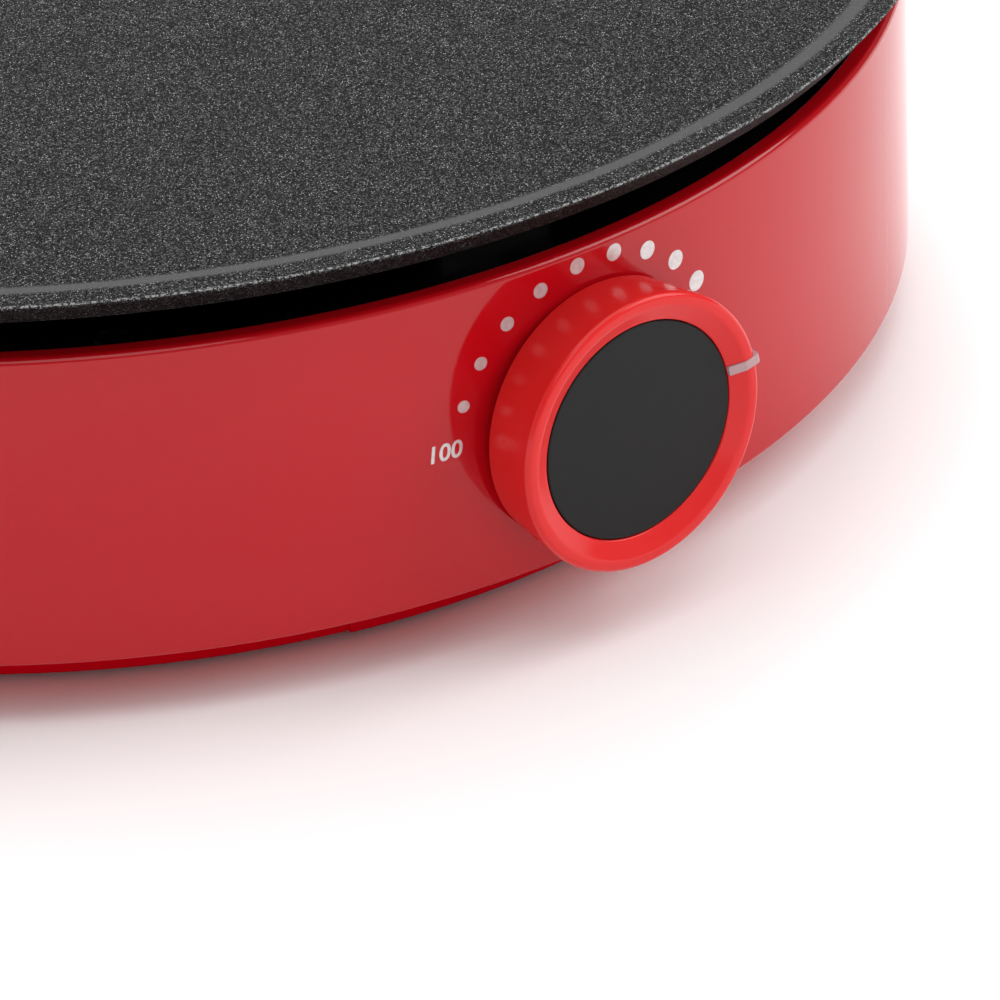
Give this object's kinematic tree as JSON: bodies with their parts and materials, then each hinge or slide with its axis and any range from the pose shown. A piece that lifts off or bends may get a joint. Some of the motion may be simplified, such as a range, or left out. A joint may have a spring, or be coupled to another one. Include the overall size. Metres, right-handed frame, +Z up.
{
  "type": "electric crepe maker",
  "caption": "Round electric crepe maker: overhanging non-stick cooking plate on a red drum housing, with an inset base and a thermostat knob at the front.",
  "frame": {"origin": "on the table under the vertical axis of the round housing", "axes": "+Z up, -Y towards the knob at the front, +Y towards the cord gland at the rear, +X to the right of someone facing the knob"},
  "size_m": [0.305, 0.3155, 0.0772],
  "materials": {
    "body_red": "gloss, injection moulded",
    "base_red": "satin, injection moulded",
    "knob_red": "satin gloss, injection moulded",
    "cap_black": "satin",
    "pointer_clear": "translucent, pinkish white",
    "plate_nonstick": "speckled non-stick coating on cast aluminium",
    "shield_black": "gloss black enamel on sheet steel",
    "screw_black": "black oxide",
    "rubber_black": "matt",
    "gland_black": "satin",
    "zinc_steel": "bright zinc plated",
    "sheet_steel": "plain sheet",
    "element_steel": "heat-darkened",
    "bimetal": "plain",
    "brass": "plain",
    "ceramic": "unglazed ceramic",
    "block_white": "satin",
    "fuse_metal": "plain",
    "glass_sleeve": "braided glass fibre",
    "connector_cover": "satin",
    "lead_brown": "silicone",
    "lead_white": "silicone",
    "lead_blue": "silicone",
    "lead_green": "silicone"
  },
  "bodies": {
    "housing": {"body_shell": "body_red", "base_plate": "base_red", "crepe_plate": "plate_nonstick", "heat_shield": "shield_black", "shield_screws": "screw_black", "rubber_feet": "rubber_black", "cord_gland": "gland_black", "base_screws": "zinc_steel", "plate_screws": "zinc_steel", "strap_screws": "zinc_steel", "bracket_screws": "zinc_steel", "block_screws": "zinc_steel", "stack_rivet": "zinc_steel", "clip_rivet": "zinc_steel", "plate_spacers": "zinc_steel", "element_straps": "sheet_steel", "thermostat_bracket": "sheet_steel", "bimetal_holder": "sheet_steel", "fuse_clip": "sheet_steel", "element_tabs": "sheet_steel", "heating_element": "element_steel", "thermostat_bush": "brass", "bush_nut": "brass", "leaf_terminal": "brass", "fixed_contact": "brass", "wire_clamps": "brass", "earth_tag": "brass", "ceramic_stack": "ceramic", "element_seals": "ceramic", "terminal_block": "block_white", "thermal_fuse": "fuse_metal", "fuse_sleeve": "glass_sleeve", "spade_connectors": "connector_cover", "live_lead": "lead_brown", "load_lead": "lead_brown", "fuse_lead": "lead_white", "neutral_lead": "lead_blue", "earth_lead": "lead_green"},
    "knob": {"knob_ring": "knob_red", "knob_cap": "cap_black", "knob_pointer": "pointer_clear", "shaft_spring": "zinc_steel", "thermostat_shaft": "zinc_steel"},
    "thrust_pin": {"thrust_pin": "ceramic"},
    "contact_leaf": {"contact_arm": "brass"},
    "bimetal": {"bimetal_blade": "bimetal"}
  },
  "joints": [
    {"name": "knob_turn", "type": "hinge", "parent": "housing", "child": "knob", "pos_m": [0, -0.15, 0.0361], "axis": [0, -1, 0], "range_deg": [-12, 165]},
    {"name": "pin_slide", "type": "slide", "parent": "housing", "child": "thrust_pin", "axis": [0, 1, 0], "range_m": [-0.00034, 0.00003]},
    {"name": "leaf_bend", "type": "hinge", "parent": "housing", "child": "contact_leaf", "pos_m": [0.0105, -0.1133, 0.0361], "axis": [0, 0, 1], "range_deg": [-0.15, 1.9]},
    {"name": "bimetal_bend", "type": "hinge", "parent": "housing", "child": "bimetal", "pos_m": [0.0105, -0.1047, 0.0361], "axis": [0, 0, 1], "range_deg": [0, 1.5], "stiffness_Nm_per_rad": 0.01}
  ],
  "couplings": [
    {"joint": "pin_slide", "follows": "knob_turn", "m_per_rad": -0.00011141},
    {"joint": "leaf_bend", "follows": "knob_turn", "ratio": 0.01061}
  ]
}
